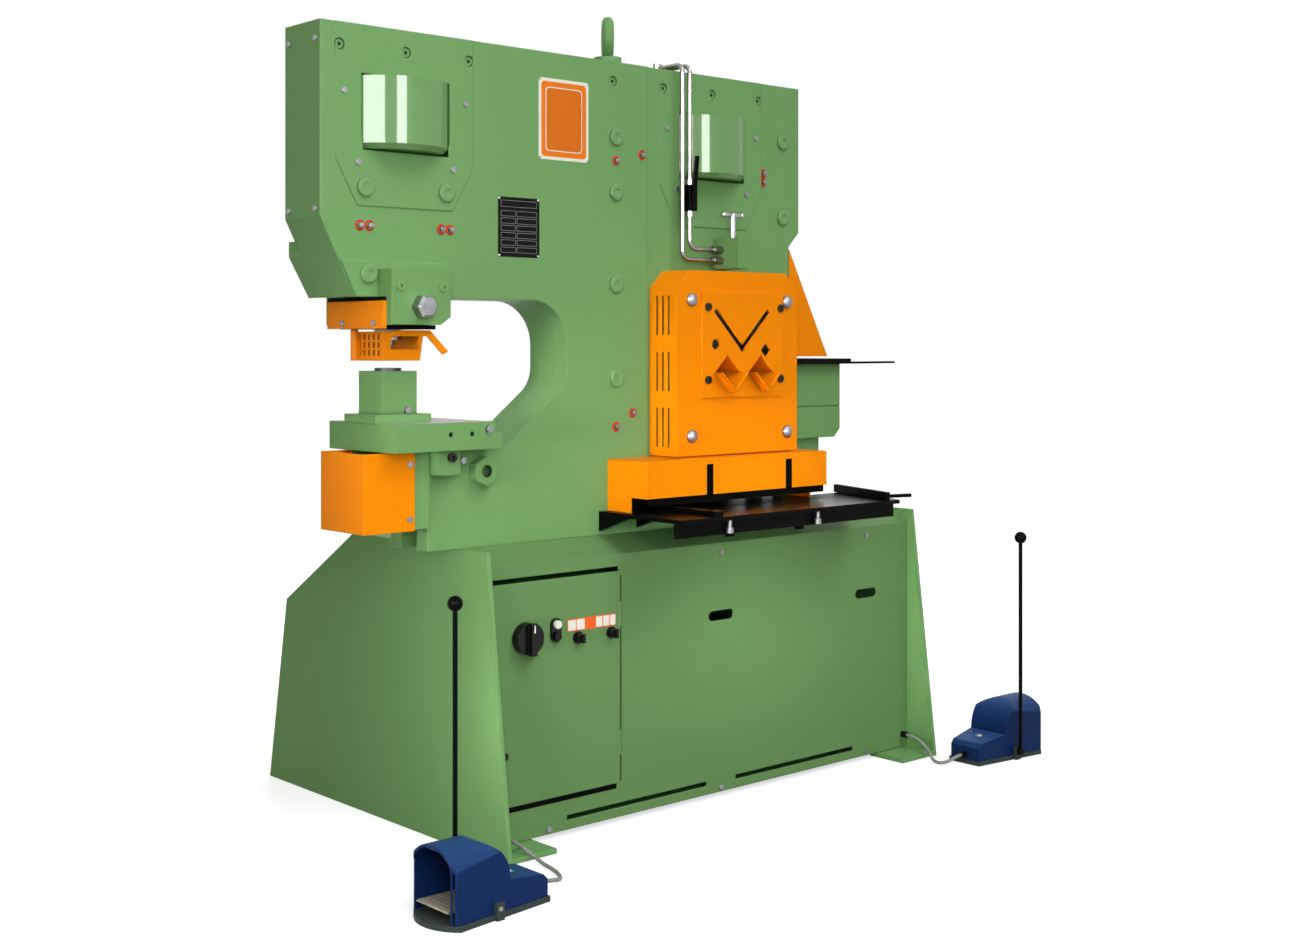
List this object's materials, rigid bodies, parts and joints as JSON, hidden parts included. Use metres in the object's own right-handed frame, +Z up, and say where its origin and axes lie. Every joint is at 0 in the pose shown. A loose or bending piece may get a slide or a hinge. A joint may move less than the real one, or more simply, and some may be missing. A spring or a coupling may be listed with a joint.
{
  "type": "punch press",
  "caption": "Upright hydraulic ironworker with a deep-throat punch, section shear, flat-bar shear and notcher on a sheet-steel base, worked by foot switches.",
  "frame": {"origin": "on the floor at the centre of the four anchor holes", "axes": "+X along the front towards the notcher, -Y towards the operator, +Z up"},
  "size_m": [2.192, 1.357, 2.029],
  "materials": {
    "green_paint": "semi-gloss",
    "orange_paint": "semi-gloss",
    "black_paint": "satin",
    "black_oxide": "satin",
    "bright_steel": "bright",
    "grey_paint": "satin",
    "black_plastic": "matt",
    "white_plastic": "gloss",
    "blue_plastic": "semi-gloss",
    "grey_plastic": "matt",
    "cord_sheath": "matt"
  },
  "bodies": {
    "machine": {"side_plates": "green_paint", "base_floor": "green_paint", "deck_plate": "green_paint", "front_panel": "green_paint", "rear_panel": "green_paint", "front_frame_plate": "green_paint", "rear_frame_plate": "green_paint", "throat_liner": "green_paint", "frame_covers": "green_paint", "lifting_eye": "green_paint", "tie_bolts": "green_paint", "punch_cylinder": "green_paint", "ram_guide": "green_paint", "die_table": "green_paint", "die_block": "green_paint", "table_clamp": "green_paint", "shear_cylinder": "green_paint", "hold_down_block": "green_paint", "notcher_block": "green_paint", "control_box": "green_paint", "ram_cover": "orange_paint", "slug_cover": "orange_paint", "section_guard": "orange_paint", "section_plate": "orange_paint", "flat_shear_guard": "orange_paint", "notcher_guard": "orange_paint", "stripper_plate": "black_paint", "shear_table": "black_paint", "notcher_table": "black_paint", "ball_valve": "black_paint", "socket_screws": "black_oxide", "punch_die": "black_oxide", "cover_screws": "bright_steel", "hydraulic_pipes": "bright_steel", "shear_blades": "bright_steel", "power_unit": "grey_paint", "cable_glands": "black_plastic", "pedal_bases": "black_plastic", "pedal_housings": "blue_plastic", "control_gear": "grey_plastic", "left_pedal_cord": "cord_sheath", "right_pedal_cord": "cord_sheath"},
    "punch_ram_body": {"punch_ram": "bright_steel", "punch": "bright_steel"},
    "punch_guard_body": {"punch_guard": "orange_paint"},
    "clamp_knob_body": {"clamp_knob": "bright_steel"},
    "shear_slide_body": {"shear_slide": "bright_steel"},
    "hold_down_screw_body": {"hold_down_screw": "bright_steel"},
    "valve_lever_body": {"valve_lever": "black_paint"},
    "door_body": {"control_door": "green_paint", "door_fittings": "black_plastic"},
    "main_switch_body": {"main_switch": "black_plastic"},
    "start_button_body": {"start_button": "white_plastic"},
    "stop_button_body": {"stop_button": "black_plastic"},
    "selector_left_body": {"selector_left": "black_plastic"},
    "selector_right_body": {"selector_right": "black_plastic"},
    "left_pedal_body": {"left_treadle": "grey_plastic", "left_hand_lever": "black_paint"},
    "right_pedal_body": {"right_treadle": "grey_plastic", "right_hand_lever": "black_paint"}
  },
  "joints": [
    {"name": "punch_stroke", "type": "slide", "parent": "machine", "child": "punch_ram_body", "axis": [0, 0, -1], "range_m": [0, 0.05]},
    {"name": "punch_guard_swing", "type": "hinge", "parent": "machine", "child": "punch_guard_body", "pos_m": [-0.984, -0.2355, 1.22], "axis": [0, 0, -1], "range_deg": [0, 110]},
    {"name": "clamp_knob_turn", "type": "hinge", "parent": "machine", "child": "clamp_knob_body", "pos_m": [-0.918, -0.412, 1.268], "axis": [0, 1, 0], "continuous": true},
    {"name": "shear_stroke", "type": "slide", "parent": "machine", "child": "shear_slide_body", "axis": [0, 0, -1], "range_m": [0, 0.04]},
    {"name": "hold_down_turn", "type": "hinge", "parent": "machine", "child": "hold_down_screw_body", "pos_m": [0.089, -0.3945, 1.465], "axis": [0, 0, 1], "continuous": true},
    {"name": "valve_turn", "type": "hinge", "parent": "machine", "child": "valve_lever_body", "pos_m": [-0.048, -0.38, 1.566], "axis": [0, -1, 0], "range_deg": [0, 90]},
    {"name": "door_swing", "type": "hinge", "parent": "machine", "child": "door_body", "pos_m": [-0.352, -0.444, 0.36], "axis": [0, 0, 1], "range_deg": [0, 100]},
    {"name": "main_switch_turn", "type": "hinge", "parent": "door_body", "child": "main_switch_body", "pos_m": [-0.651, -0.46, 0.492], "axis": [0, 1, 0], "range_deg": [0, 90]},
    {"name": "start_press", "type": "slide", "parent": "door_body", "child": "start_button_body", "axis": [0, 1, 0], "range_m": [0, 0.004], "stiffness_N_per_m": 400},
    {"name": "stop_press", "type": "slide", "parent": "door_body", "child": "stop_button_body", "axis": [0, 1, 0], "range_m": [0, 0.004], "stiffness_N_per_m": 400},
    {"name": "selector_left_turn", "type": "hinge", "parent": "door_body", "child": "selector_left_body", "pos_m": [-0.488, -0.455, 0.474], "axis": [0, 1, 0], "range_deg": [-45, 45]},
    {"name": "selector_right_turn", "type": "hinge", "parent": "door_body", "child": "selector_right_body", "pos_m": [-0.382, -0.455, 0.474], "axis": [0, 1, 0], "range_deg": [-45, 45]},
    {"name": "left_pedal_press", "type": "hinge", "parent": "machine", "child": "left_pedal_body", "pos_m": [-0.995, -0.735, 0.024], "axis": [0, -1, 0], "range_deg": [0, 6], "stiffness_Nm_per_rad": 4, "springref_deg": -14.32},
    {"name": "right_pedal_press", "type": "hinge", "parent": "machine", "child": "right_pedal_body", "pos_m": [0.905, -0.648, 0.024], "axis": [0, 1, 0], "range_deg": [0, 6], "stiffness_Nm_per_rad": 4, "springref_deg": -14.32}
  ]
}
